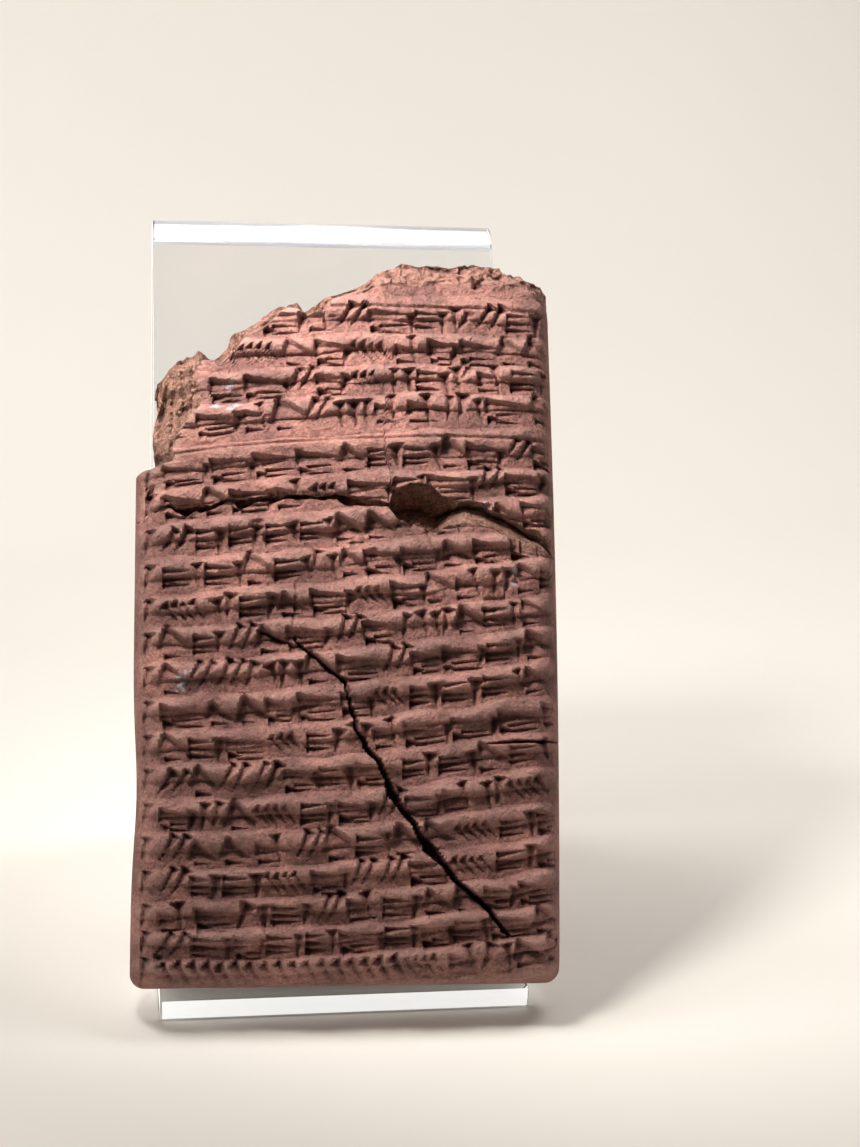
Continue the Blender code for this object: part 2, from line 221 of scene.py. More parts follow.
def stroke_group(chance):
    """One group of strokes: its width, and each stroke's place, direction, length, width and depth."""
    kind = chance.choice(GROUP_KINDS)
    down = -math.pi / 2
    if kind == "box":
        width = chance.uniform(5.5, 8.5)
        marks = [(0.0, 0.5, 0.0, width + 0.8, 3.2, 2.0), (0.5, -2.0, 0.0, 2.4, 2.3, 2.0),
                 (1.9, -1.3, 0.0, width - 2.4, 1.0, 1.0), (1.9, -2.4, 0.0, width - 2.6, 1.0, 1.0)]
        if chance.random() < 0.7:
            marks.append((width - 0.4, 0.8, down + chance.uniform(-0.5, 0.2), 4.4, 2.5, 2.1))
    elif kind == "triple":
        width = chance.uniform(4.5, 6.5)
        marks = [(0.1, 1.0 - 1.25 * step, 0.0, width * chance.uniform(0.85, 1.0), 1.7, 1.7)
                 for step in range(3)]
        marks.append((width - 0.2, chance.uniform(1.0, 2.2), down + chance.uniform(-0.3, 0.3), 5.0, 2.8, 2.2))
        width += 0.9
    elif kind == "hooks":
        count = chance.choice((3, 4))
        width = 1.6 * count + 1.6
        marks = [(0.2 + 1.6 * step, 1.3, -0.9, 4.6, 2.0, 1.7) for step in range(count)]
    elif kind == "uprights":
        count = chance.choice((2, 2, 3))
        width = 2.5 * count
        marks = [(1.2 + 2.5 * step, chance.uniform(1.4, 2.8), down + chance.uniform(-0.6, 0.3), 5.6, 2.8, 2.2)
                 for step in range(count)]
    elif kind == "slashes":
        width = 5.2
        marks = [(2.6 + 2.2 * step, 2.8, -2.15, 5.8, 2.1, 2.3) for step in (0, 1)]
    elif kind == "cross":
        width = chance.uniform(5.0, 6.5)
        marks = [(0.0, 0.2, 0.0, width + 0.5, 3.0, 1.9), (0.5 * width, 2.8, down + 0.15, 5.8, 2.6, 2.2),
                 (0.4, -2.0, 0.0, 0.8 * width, 1.3, 1.3)]
    else:
        width = chance.uniform(4.2, 5.6)
        marks = [(0.1, chance.uniform(0.4, 1.6), -0.38, width + 0.8, 4.8, 2.5),
                 (0.6, -2.1, 0.0, 3.4, 1.5, 1.4)]
    return width, marks


ROW_COUNT = 21
ROW_START = -33.5
ROW_END = 35.0
STROKE_LIMIT = 36.0
SLANTED_ROW_END = 9.0
EDGE_MARK_ACROSS = -0.0355
# Across, above the row's foot, direction, length, width and depth of the mark that opens each row
EDGE_MARK = (-0.0358, 0.0024, -1.80, 0.0058, 0.0026, 0.0028)


def strokes():
    """Every stroke on the face, in metres. They spell nothing."""
    chance = random.Random(STROKE_SEED)
    marks = []
    for number in range(ROW_COUNT):
        foot, _ = row_foot(number, EDGE_MARK_ACROSS)
        marks.append((EDGE_MARK[0], float(foot) + EDGE_MARK[1], *EDGE_MARK[2:]))
        across = ROW_START
        while across < ROW_END:
            width, group = stroke_group(chance)
            if number == 0 and across < SLANTED_ROW_END:
                width, group = 2.3, [(0.4, 1.8, -1.0, 5.4, 2.3, 2.4)]
            elif across < ROW_START + 0.5 and chance.random() < 0.4:
                width, group = 5.4, [(2.4 + 2.4 * step, 2.0, -2.25, 5.6, 2.5, 2.4) for step in (0, 1)]
            for x, z, direction, length, wide, deep in group:
                if across + x > STROKE_LIMIT:
                    continue
                length = min(length, STROKE_LIMIT + 1.0 - across - x) if abs(direction) < 0.5 else length
                size = chance.uniform(0.80, 1.30)
                start = (across + x) * 1e-3
                foot, slope = row_foot(number, start)
                turn = direction + float(slope) + chance.uniform(-0.06, 0.06)
                marks.append((start, float(foot) + (z + chance.uniform(-0.15, 0.15)) * 1e-3, turn,
                              length * 1e-3, wide * size * 1e-3, deep * size * 1e-3))
            across += width + chance.uniform(0.0, 0.4)
    return marks


# A stroke's head and its steep first wall, as shares of its width. Thin strokes keep an even body.
HEAD_LENGTH = 1.1
START_WALL = 0.12
THIN_STROKE = 0.0012


def press(depth, across, up, marks):
    """Press the strokes into a grid of depths: three-sided heads and straight tails, each cut with a
    steep upper facet and a broad lower one."""
    for start, level, direction, length, width, deep in marks:
        near = np.abs(across - start) < length + width
        near &= np.abs(up - level) < length + width
        if not near.any():
            continue
        x, z = across[near] - start, up[near] - level
        run = x * math.cos(direction) + z * math.sin(direction)
        side = z * math.cos(direction) - x * math.sin(direction)
        head = np.clip(1.0 - run / (HEAD_LENGTH * width), 0.0, 1.0)
        tail = np.clip(1.0 - run / length, 0.0, 1.0)
        body = 0.9 * tail ** 0.3 if width < THIN_STROKE else 0.8 * tail ** 0.9
        half = 0.5 * width * np.maximum(head, body)
        low = deep * np.maximum(head, body)
        bottom = 0.5 * half * math.cos(direction)
        above, below = (half - side) / (half - bottom + 1e-9), (half + side) / (half + bottom + 1e-9)
        wall = np.where(side > bottom, above, below)
        start_wall = np.clip(1.0 + run / (START_WALL * width), 0.0, 1.0)
        cut = low * start_wall * np.clip(wall, 0.0, 1.0)
        cut[tail <= 0.0] = 0.0
        depth[near] = np.maximum(depth[near], cut)
    return depth


# The long crack down the lower half, open in places, with the fine cracks that leave it
CRACK = (
    (-0.260, 0.530, 0.1), (-0.260, 0.455, 0.2), (-0.236, 0.448, 0.3), (-0.154, 0.429, 0.35),
    (-0.077, 0.409, 0.4), (-0.031, 0.399, 0.4), (-0.008, 0.376, 0.4), (0.024, 0.336, 0.45),
    (0.060, 0.316, 0.5), (0.119, 0.297, 0.7), (0.155, 0.270, 0.6), (0.187, 0.251, 1.5),
    (0.218, 0.236, 0.7), (0.286, 0.212, 0.7), (0.322, 0.192, 1.0), (0.350, 0.182, 1.9),
    (0.370, 0.176, 1.6), (0.422, 0.159, 0.8), (0.467, 0.140, 0.7), (0.535, 0.123, 0.6),
    (0.580, 0.113, 0.6), (0.648, 0.094, 0.5), (0.693, 0.074, 0.5), (0.720, 0.066, 0.2),
)
SIDE_CRACKS = (
    ((-0.44, 0.468, 0.2), (-0.39, 0.464, 0.4), (-0.33, 0.455, 0.4), (-0.28, 0.450, 0.3)),
    ((0.62, 0.318, 0.2), (0.76, 0.321, 0.5), (0.99, 0.322, 0.4)),
)
CRACK_DEPTH = 0.0060
CRACK_WANDER = 0.0006
CRACK_WANDER_SIZE = 0.0028
CRACK_EDGE = 0.00012
FULL_CRACK_HALF = 0.0003
SIDE_CRACK_SHARE = 0.4


def open_crack(depth, across, up, path, deepest):
    """Open a crack along a path of (share across, share up, width in millimetres)."""
    across = across + CRACK_WANDER * lumps(0.3 * across, 0.8, up, CRACK_WANDER_SIZE)
    for (x0, z0, w0), (x1, z1, w1) in zip(path, path[1:]):
        start = np.array((x0 * TABLET_WIDTH / 2, z0 * TABLET_HEIGHT))
        end = np.array((x1 * TABLET_WIDTH / 2, z1 * TABLET_HEIGHT))
        line = end - start
        share = ((across - start[0]) * line[0] + (up - start[1]) * line[1]) / (line @ line)
        share = np.clip(share, 0.0, 1.0)
        away = np.hypot(across - start[0] - share * line[0], up - start[1] - share * line[1])
        half = 0.5e-3 * (w0 + (w1 - w0) * share)
        open_share = np.clip((half + CRACK_EDGE - away) / (2.0 * CRACK_EDGE), 0.0, 1.0)
        depth = np.maximum(depth, deepest * open_share * np.clip(half / FULL_CRACK_HALF, 0.15, 1.0))
    return depth


# The break across the tablet: a thin dark line on the left, and a deep open pit on the right
EDGE_ABOVE = (
    (-1.05, 0.612), (-0.954, 0.622), (-0.832, 0.639), (-0.759, 0.633), (-0.627, 0.641),
    (-0.513, 0.646), (-0.283, 0.650), (-0.053, 0.652), (0.086, 0.646), (0.180, 0.641),
    (0.192, 0.655), (0.273, 0.666), (0.376, 0.667), (0.420, 0.652), (0.553, 0.645),
    (0.624, 0.641), (0.647, 0.632), (0.717, 0.628), (0.787, 0.616), (0.881, 0.605),
    (0.918, 0.594), (0.960, 0.576), (1.05, 0.560),
)
EDGE_BELOW = (
    (-1.05, 0.608), (-0.963, 0.618), (-0.877, 0.630), (-0.832, 0.633), (-0.795, 0.625),
    (-0.759, 0.619), (-0.695, 0.625), (-0.627, 0.631), (-0.577, 0.638), (-0.513, 0.631),
    (-0.412, 0.639), (-0.283, 0.644), (-0.076, 0.644), (-0.030, 0.636), (0.086, 0.635),
    (0.170, 0.634), (0.212, 0.617), (0.318, 0.609), (0.388, 0.600), (0.458, 0.612),
    (0.575, 0.610), (0.669, 0.607), (0.739, 0.591), (0.809, 0.576), (0.903, 0.570),
    (0.954, 0.565), (1.05, 0.552),
)
BREAK_GAP = 0.0003
PIT_DEPTH = 0.0088
PIT_LEFT = (0.17, 0.23)
PIT_RIGHT = (0.40, 0.50)
LEDGE_START = (0.40, 0.56)
ROUGHNESS = 0.0009
ROUGHNESS_GRAIN = 0.0050


def grain(x, y, z):
    """The relief of broken clay: lumps of about five millimetres, and finer ones on them."""
    size = ROUGHNESS_GRAIN
    return ROUGHNESS * (lumps(x, y, z, size) + 0.5 * lumps(x, y, z, size / 2.3))


def break_height(across, depth, side):
    """Height of the break at a depth, on the upper (side 1) or the lower (side -1) fragment."""
    above, below = share_line(EDGE_ABOVE, across), share_line(EDGE_BELOW, across)
    ragged = 0.0003 * lumps(across, 0.3 * side, 0.0, 0.0021)
    ragged = ragged + 0.00015 * lumps(across, 0.5 * side, 0.0, 0.0008)
    edge = (above if side > 0 else below) + ragged
    share = 2.0 * across / TABLET_WIDTH
    hole = smooth_step(*PIT_LEFT, share) * (1.0 - smooth_step(*PIT_RIGHT, share))
    ledge = smooth_step(*LEDGE_START, share)
    middle = below + (above - below) * (0.5 + 0.4 * ledge)
    inward = depth + TABLET_THICKNESS / 2
    closed = smooth_step(0.10 * PIT_DEPTH + 0.35 * PIT_DEPTH * hole, PIT_DEPTH, inward)
    closed = np.where(ledge > 0.5, smooth_step(0.0, 0.7 * PIT_DEPTH, inward), closed)
    rough = smooth_step(0.0, 0.003, inward)
    height = edge + (middle + side * 0.5 * BREAK_GAP - edge) * closed
    height = height + side * 0.0012 * hole * rough * (1.0 - closed)
    fine = 0.0009 * lumps(across, depth, 0.2 * side, 0.0023)
    fine = fine + 0.0006 * lumps(across, depth, 0.2 * side, 0.0010)
    return height + grain(across, depth, 0.0) * rough + fine * rough * (1.0 - 0.6 * closed)


# The broken top, with a knob left of its middle and steps where flakes came off
TOP_BREAK = (
    (-1.00, 0.775), (-0.900, 0.800), (-0.850, 0.824), (-0.795, 0.840), (-0.725, 0.852),
    (-0.665, 0.841), (-0.599, 0.840), (-0.529, 0.858), (-0.492, 0.876), (-0.398, 0.889),
    (-0.328, 0.911), (-0.281, 0.917), (-0.234, 0.913), (-0.205, 0.906), (-0.163, 0.911),
    (-0.115, 0.922), (-0.068, 0.932), (0.004, 0.938), (0.075, 0.944), (0.123, 0.957),
    (0.171, 0.968), (0.243, 0.976), (0.387, 0.980), (0.629, 0.981), (0.798, 0.977),
    (0.924, 0.972), (0.960, 0.960), (1.00, 0.950),
)


def top_height(across, depth):
    """Height of the broken top at a depth."""
    inward = smooth_step(0.0, 0.003, depth + TABLET_THICKNESS / 2)
    fine = 0.0005 * lumps(across, depth, 0.3, 0.0017)
    return share_line(TOP_BREAK, across) + (grain(across, depth, 0.2) + fine) * inward


# The lip under the broken top flaked off in a rough slope, widest on the right
LIP_WIDTH = 0.0046
LIP_NARROW_WIDTH = 0.0012
LIP_DROP = 0.0034
LIP_WIDENS = (0.08, 0.22)
LIP_START = 0.25


def broken_lip(across, up):
    """0 on the whole face, rising to 1 at the edge of the broken top."""
    wide = smooth_step(*LIP_WIDENS, 2.0 * across / TABLET_WIDTH)
    width = LIP_NARROW_WIDTH + (LIP_WIDTH - LIP_NARROW_WIDTH) * wide
    width = width * (1.0 + 0.35 * lumps(across, 0.02, 0.0, 0.005))
    return np.clip(1.0 - (share_line(TOP_BREAK, across) - up) / width, 0.0, 1.0)


# Chips and holes in the face: place as shares, half sizes and depth in millimetres
CHIPS = (
    (0.612, 0.951, 1.4, 1.4, 1.9), (0.70, 0.962, 1.2, 0.7, 1.0), (0.42, 0.974, 8.0, 0.9, 1.2),
    (-0.995, 0.262, 1.2, 1.6, 1.4), (0.03, 0.580, 1.6, 1.0, 0.9), (0.10, 0.572, 1.0, 0.8, 0.7),
    (-0.60, 0.030, 0.8, 0.8, 1.2), (-0.86, 0.043, 0.9, 0.9, 1.0), (-0.24, 0.448, 0.5, 0.4, 0.8),
    (-0.62, 0.578, 1.8, 0.9, 0.6), (-0.44, 0.610, 1.6, 0.9, 0.7), (0.66, 0.505, 2.4, 1.6, 0.6),
    (-0.925, 0.652, 0.8, 1.6, 2.2),
)
# The upper right corner of the face flaked off along a slanting line, through these two points
FLAKE_LINE = ((28.6, 131.2), (36.6, 123.6))
FLAKE_SLOPE = 1.5
FLAKE_DEEPEST = 0.0055


def lost_corner(across, up):
    """Depth lost beyond the slanting line, in a few flat facets."""
    (x0, z0), (x1, z1) = FLAKE_LINE
    length = math.hypot(x1 - x0, z1 - z0)
    beyond = ((across * 1e3 - x0) * (z0 - z1) + (up * 1e3 - z0) * (x1 - x0)) / length * 1e-3
    facets = 0.0022 * np.abs(lumps(across, 0.9, up, 0.0036)) + 0.0007 * lumps(across, 0.7, up, 0.0012)
    return np.clip(FLAKE_SLOPE * beyond + facets * (beyond > 0.0), 0.0, FLAKE_DEEPEST)


# Patches of pale salt: place and half sizes in millimetres
SALT_PATCHES = (
    (-21.9, 107.3, 1.1, 0.8), (-24.6, 103.2, 1.5, 0.5), (-20.8, 103.3, 0.9, 0.8), (-29.9, 53.7, 1.1, 1.3),
    (29.8, 74.2, 0.9, 0.8), (28.6, 71.6, 1.2, 0.5), (24.2, 85.5, 0.5, 1.0),
)


def chips(across, up):
    """Depth of the small holes."""
    depth = np.zeros_like(across)
    for x, z, half_width, half_height, deep in CHIPS:
        u = (across - x * TABLET_WIDTH / 2) / (half_width * 1e-3)
        w = (up - z * TABLET_HEIGHT) / (half_height * 1e-3)
        edge = 1.0 + 0.35 * lumps(across, 0.6, up, 0.0012)
        inside = edge - np.maximum(np.abs(u), np.abs(w))
        depth = np.maximum(depth, deep * 1e-3 * np.clip(1.6 * inside, 0.0, 1.0))
    return depth


def salt(across, up):
    """1 where pale salt lies on the clay."""
    share = np.zeros_like(across)
    for x, z, half_width, half_height in SALT_PATCHES:
        away = np.hypot((across * 1e3 - x) / half_width, (up * 1e3 - z) / half_height)
        share = np.maximum(share, np.clip(0.8 - away + 2.2 * lumps(across, 0.8, up, 0.0008), 0.0, 0.7))
    return share


# Both halves of the skin share one ring round the tablet's middle. The face is a fine grid and the
# back takes every fourth line of it.
RIM_LINES = 20
FACE_LINES = 172
BACK_STEP = 4
MERGE_DISTANCE = 2e-6
CLAY_SHARP_ANGLE = math.radians(38.0)
# Lines inside the break crowd towards the face by this power. Ridges and strokes fade out this near
# the sides, and what stands this high or low is painted palest, as a dusty film and a painted highlight,
# or darkest, as grime and painted shade.
CROWDING = 1.6
RIDGE_FADE = 0.0025
STROKE_FADE = 0.0012
DUST_AND_SHADE_HEIGHT = 0.0012


def section_lines():
    """Turn of the left and right rims, and share across the face, of each line up the tablet."""
    quarter = np.linspace(0.0, math.pi / 2, RIM_LINES + 1)
    whole = np.full(FACE_LINES + 1, math.pi / 2)
    left = np.concatenate((quarter[:-1], whole, np.full(RIM_LINES, math.pi / 2)))
    right = np.concatenate((np.full(RIM_LINES, math.pi / 2), whole, quarter[::-1][1:]))
    share = np.concatenate((np.zeros(RIM_LINES), np.linspace(0.0, 1.0, FACE_LINES + 1), np.ones(RIM_LINES)))
    return left, right, share


def rounded_corner(across, up, left, right):
    """Round the outline where the sides meet the bottom edge."""
    for edge, way in ((left, 1.0), (right, -1.0)):
        u = np.clip(1.0 - way * (across - edge) / CORNER_ROUND, 0.0, 1.0)
        w = np.clip(1.0 - up / CORNER_ROUND, 0.0, 1.0)
        across = across + way * CORNER_ROUND * (u - u * np.sqrt(1.0 - 0.5 * w * w))
        up = up + CORNER_ROUND * (w - w * np.sqrt(1.0 - 0.5 * u * u))
    return across, up


def skin_points(part, bottom_lines, face_lines, top_lines, marks):
    """Points of one fragment's front grid and back grid in the tablet's own frame, and masks for its broken
    clay, salt, and painted highlight and shade.
    """
    left_turn, right_turn, share = section_lines()
    columns = len(share)
    lower = part == "lower"
    rows = bottom_lines + face_lines + top_lines + 1
    bottom_turn = np.full(rows, math.pi / 2)
    inside_bottom = np.zeros(rows)
    if lower:
        bottom_turn[:bottom_lines] = np.linspace(0.0, math.pi / 2, bottom_lines + 1)[:-1]
    else:
        inside_bottom[:bottom_lines] = np.linspace(1.0, 0.0, bottom_lines + 1)[:-1] ** CROWDING
    rise = np.concatenate((np.zeros(bottom_lines), np.linspace(0.0, 1.0, face_lines + 1), np.ones(top_lines)))
    inside_top = np.zeros(rows)
    inside_top[rows - top_lines:] = np.linspace(0.0, 1.0, top_lines + 1)[1:] ** CROWDING

    # Where each line crosses the broken edges, found from a rough place across
    half = TABLET_WIDTH / 2
    rough_across = (-half + EDGE_ROUND * (1.0 - np.cos(left_turn)) + share * (2.0 * half - 2.0 * EDGE_ROUND)
                    + EDGE_ROUND * np.cos(right_turn))
    face_front = -(TABLET_THICKNESS / 2) * np.sin(left_turn) * np.sin(right_turn)

    def place(up):
        """Place across of every line at these heights, and both outlines there."""
        kept = 1.0 - left_break(up)
        left, right = left_edge(up), right_edge(up)
        left_round, right_round = EDGE_ROUND * kept, EDGE_ROUND
        inner = left + left_round + share * (right - left - left_round - right_round)
        x = inner - left_round * np.cos(left_turn) + right_round * np.cos(right_turn)
        return x, left, right

    if lower:
        low = np.full(columns, EDGE_ROUND)
        high = break_height(rough_across, face_front, -1)
    else:
        low = break_height(rough_across, face_front, 1)
        high = top_height(rough_across, face_front)
    up = low + (high - low) * rise[:, None]
    if lower:
        up = up - (EDGE_ROUND * np.cos(bottom_turn))[:, None]
    across, left, right = place(up)
    if lower:
        across, up = rounded_corner(across, up, left, right)

    turn = (np.sin(left_turn) * np.sin(right_turn))[None, :] * np.sin(bottom_turn)[:, None]
    face = TABLET_THICKNESS / 2 - FACE_CROWN * (1.0 - crown(across, up))
    back = TABLET_THICKNESS / 2 - BACK_CROWN * (1.0 - crown(across, up))
    broken = scar(across, up)
    lip = broken_lip(across, up) if not lower else np.zeros_like(across)
    whole = (1.0 - smooth_step(0.0, SCAR_START, broken)) * (1.0 - smooth_step(0.0, LIP_START, lip))
    inset = np.minimum(across - left, right - across)
    relief = ridges(across, up) * smooth_step(0.0, RIDGE_FADE, inset)
    relief -= press(np.zeros_like(across), across, up, marks) * smooth_step(0.0, STROKE_FADE, inset)
    streaks = 0.0018 * lumps(2.2 * across, 0.1, 0.5 * up, 0.0021)
    streaks = streaks - 0.0012 * np.abs(lumps(1.5 * across, 0.4, 0.6 * up, 0.0030))
    crumbs = 0.0010 * lumps(across, 0.2, up, 0.0019) - 0.0014 * np.abs(lumps(across, 0.5, up, 0.0013))
    rough = grain(across, 0.0, up) + crumbs + streaks * smooth_step(0.0, 0.2, broken)
    relief = relief * whole + (rough - SCAR_DROP * broken - LIP_DROP * lip) * (1.0 - whole)
    if not lower:
        relief -= lost_corner(across, up)
    relief -= chips(across, up)
    worn = 0.00012 * lumps(across, 0.0, up, 0.0011) + 0.00025 * lumps(across, 0.3, up, 0.0035)
    crack = np.zeros_like(across)
    if lower:
        crack = open_crack(crack, across, up, CRACK, CRACK_DEPTH)
        for path in SIDE_CRACKS:
            crack = open_crack(crack, across, up, path, SIDE_CRACK_SHARE * CRACK_DEPTH)
    dents = 0.0005 * lumps(across, TABLET_THICKNESS, up, 0.0160) + 0.0002 * lumps(across, 0.05, up, 0.0040)

    points = []
    for way, thickness in ((-1.0, face + relief + worn - crack), (1.0, back + dents)):
        depth = way * thickness * turn
        height = up.copy()
        for inside, rim in ((inside_top, "top"), (inside_bottom, "bottom")):
            deep = inside > 0.0
            if not deep.any():
                continue
            edge_row = rows - top_lines - 1 if rim == "top" else bottom_lines
            depth[deep] = depth[edge_row] * (1.0 - inside[deep])[:, None]
            if rim == "top" and not lower:
                height[deep] = top_height(across[deep], depth[deep])
            else:
                height[deep] = break_height(across[deep], depth[deep], -1 if lower else 1)
        points.append(np.stack((across, depth, height), -1))

    inside = (np.maximum(inside_top, inside_bottom) > 0.0)[:, None] & np.ones((1, columns), bool)
    torn_face = np.maximum(smooth_step(0.0, SCAR_START, broken), 0.35 * smooth_step(0.0, LIP_START, lip))
    fresh = np.where(inside, 1.0, torn_face)
    in_break = np.where((inside_top if lower else inside_bottom) > 0.0, 1.0, 0.0)[:, None]
    # Deep in the break the clay is painted darker and less pale, as painted shade
    behind_face = TABLET_THICKNESS / 2 - 0.001 - np.abs(points[0][..., 1])
    sunk = 0.15 * in_break * smooth_step(0.0, 0.0025, behind_face)
    # What stands proud of the smoothed relief is painted paler, as a dusty film and a painted highlight, and
    # what lies below it darker, as grime and painted shade
    soft = relief.copy()
    for _ in range(3):
        for axis, reach in ((0, 6), (1, 3)):
            soft = sum(np.roll(soft, shift, axis) for shift in range(-reach, reach + 1)) / (2.0 * reach + 1.0)
    proud = np.clip((relief - soft) / DUST_AND_SHADE_HEIGHT, -1.0, 1.0) * (1.0 - inside)
    # Open cracks are painted dark as well, as painted shade
    proud -= np.clip(crack / 0.001, 0.0, 1.0) + sunk
    wear_and_shade_masks = {"fresh_break": np.clip(fresh - sunk, 0.0, 1.0), "stands_proud": np.clip(proud, -1.0, 1.0),
            "pale_salt": salt(across, up)}
    return points[0], points[1], wear_and_shade_masks


def skin_mesh(name, front, back, wear_and_shade_masks):
    """One closed mesh from the fine front grid and every fourth line of the back grid."""
    rows, columns = front.shape[:2]
    number = np.arange(rows * columns).reshape(rows, columns)
    quads = np.stack((number[:-1, :-1], number[:-1, 1:], number[1:, 1:], number[1:, :-1]), -1)
    faces = quads.reshape(-1, 4).tolist()
    points = [front.reshape(-1, 3)]
    count = rows * columns
    behind = {}
    inner_rows = range(BACK_STEP, rows - 1, BACK_STEP)
    inner_columns = range(BACK_STEP, columns - 1, BACK_STEP)
    for row in inner_rows:
        for column in inner_columns:
            behind[row, column] = count
            count += 1
    picked = back[np.ix_(list(inner_rows), list(inner_columns))]
    points.append(picked.reshape(-1, 3))
    bare = np.zeros(picked.shape[0] * picked.shape[1])

    def corner(row, column):
        return behind.get((row, column), int(number[row, column]))

    def side(row, column, to_row, to_column):
        """Points from one coarse corner up to the next, with the fine ones of the ring between."""
        along_row = row == to_row and row in (0, rows - 1)
        along_column = column == to_column and column in (0, columns - 1)
        if not (along_row or along_column):
            return [corner(row, column)]
        steps = max(abs(to_row - row), abs(to_column - column))
        step_row, step_column = (to_row - row) // steps, (to_column - column) // steps
        return [int(number[row + step * step_row, column + step * step_column]) for step in range(steps)]

    for row in range(0, rows - 1, BACK_STEP):
        for column in range(0, columns - 1, BACK_STEP):
            far_row, far_column = row + BACK_STEP, column + BACK_STEP
            loop = side(row, column, far_row, column) + side(far_row, column, far_row, far_column)
            loop += side(far_row, far_column, row, far_column) + side(row, far_column, row, column)
            faces.append(loop)

    mesh = bpy.data.meshes.new(name)
    mesh.from_pydata(np.concatenate(points).tolist(), [], faces)
    for attribute, values in wear_and_shade_masks.items():
        layer = mesh.attributes.new(attribute, "FLOAT", "POINT")
        layer.data.foreach_set("value", np.concatenate((values.ravel(), bare)).astype(np.float32))
    shape = bmesh.new()
    shape.from_mesh(mesh)
    bmesh.ops.remove_doubles(shape, verts=shape.verts, dist=MERGE_DISTANCE)
    bmesh.ops.recalc_face_normals(shape, faces=shape.faces)
    for face in shape.faces:
        face.smooth = True
    shape.to_mesh(mesh)
    shape.free()
    mesh.set_sharp_from_angle(angle=CLAY_SHARP_ANGLE)
    return mesh


def seat(mesh):
    """Lean the tablet back, turn it a little and set it on the stand's foot."""
    turned = Euler((-TABLET_LEAN, 0.0, TABLET_TURN), "XYZ").to_matrix().to_4x4()
    mesh.transform(Matrix.Translation(TABLET_PLACE) @ turned)


def linear(code):
    """A hex colour as linear RGBA."""
    channels = [int(code[place:place + 2], 16) / 255.0 for place in (1, 3, 5)]
    return [c / 12.92 if c <= 0.04045 else ((c + 0.055) / 1.055) ** 2.4 for c in channels] + [1.0]


def add_node(tree, kind, settings=(), **links):
    """Add a node, set its properties or a colour ramp's stops, and set or link its inputs: by name,
    or by number as in0, in1 and so on."""
    node = tree.nodes.new(kind)
    for key, value in dict(settings).items():
        if key != "stops":
            setattr(node, key, value)
            continue
        elements = node.color_ramp.elements
        while len(elements) < len(value):
            elements.new(0.5)
        for element, (place, colour) in zip(elements, value):
            element.position = place
            element.color = colour
    for key, value in links.items():
        wanted = key.replace("_", " ")
        if key.startswith("in") and key[2:].isdigit():
            socket = node.inputs[int(key[2:])]
        else:
            socket = next(s for s in node.inputs if s.name.lower() == wanted.lower() and s.enabled)
        if isinstance(value, bpy.types.NodeSocket):
            tree.links.new(value, socket)
        else:
            socket.default_value = value
    return node


def new_material(name):
    """A material, its node tree, its shader, and the object coordinates that its patterns lie in."""
    material = bpy.data.materials.new(name)
    material.use_nodes = True
    tree = material.node_tree
    where = add_node(tree, "ShaderNodeTexCoord").outputs["Object"]
    return material, tree, tree.nodes["Principled BSDF"], where


# Fired clay: fine river clay, unglazed, matt and red-brown. The eye sees soft blotches a
# centimetre wide, grit of half a millimetre, a pale dusty film and a painted highlight on the ridges,
# and dark grime and painted shade in the strokes.
# The real grit is finer, and it is drawn at half a millimetre so that it still shows.
CLAY_WARM = "#A1756B"
CLAY_BROWN = "#7E5C56"
CLAY_DIRT_AND_SHADE = "#45342F"
CLAY_DUST_AND_HIGHLIGHT = "#B8958A"
# Broken clay is paler and redder than the face, and its colour is painted paler still as a highlight
CLAY_FRESH_AND_HIGHLIGHT = "#E6B49E"
CLAY_SALT = "#B6BCC8"
BLOTCH_SIZE = 0.009
MOTTLE_SIZE = 0.0016
GRIT_SIZE = 0.0005
CRUMB_SIZE = 0.0010
PORE_SPACING = 0.0011
# Linear factors that the mottle, the grit and the crumbs of broken clay multiply the colour by
SAME = (1.0, 1.0, 1.0, 1.0)
MOTTLE_DARK, MOTTLE_PALE = (0.62, 0.60, 0.60, 1.0), (1.25, 1.22, 1.20, 1.0)
GRIT_DARK, GRIT_PALE = (0.60, 0.58, 0.58, 1.0), (1.40, 1.36, 1.34, 1.0)
CRUMB_DARK, CRUMB_PALE = (0.62, 0.52, 0.49, 1.0), (1.25, 1.24, 1.24, 1.0)

fired_clay, tree, shader, where = new_material("fired_clay_unglazed")
shader.inputs["Metallic"].default_value = 0.0
shader.inputs["IOR"].default_value = 1.45
shader.inputs["Specular IOR Level"].default_value = 0.30
mix = {"data_type": "RGBA", "blend_type": "MIX"}
multiply = {"data_type": "RGBA", "blend_type": "MULTIPLY"}
blotch = add_node(tree, "ShaderNodeTexNoise", Vector=where, Scale=1.0 / BLOTCH_SIZE,
                  Detail=3.0).outputs["Fac"]
mottle = add_node(tree, "ShaderNodeTexNoise", Vector=where, Scale=1.0 / MOTTLE_SIZE, Detail=4.0,
                  Roughness=0.65).outputs["Fac"]
grit = add_node(tree, "ShaderNodeTexNoise", Vector=where, Scale=1.0 / GRIT_SIZE, Detail=3.0,
                Roughness=0.7).outputs["Fac"]
crumb = add_node(tree, "ShaderNodeTexNoise", Vector=where, Scale=1.0 / CRUMB_SIZE, Detail=4.0,
                 Roughness=0.75).outputs["Fac"]
proud = add_node(tree, "ShaderNodeAttribute", {"attribute_name": "stands_proud"}).outputs["Fac"]
fresh = add_node(tree, "ShaderNodeAttribute", {"attribute_name": "fresh_break"}).outputs["Fac"]
crust = add_node(tree, "ShaderNodeAttribute", {"attribute_name": "pale_salt"}).outputs["Fac"]

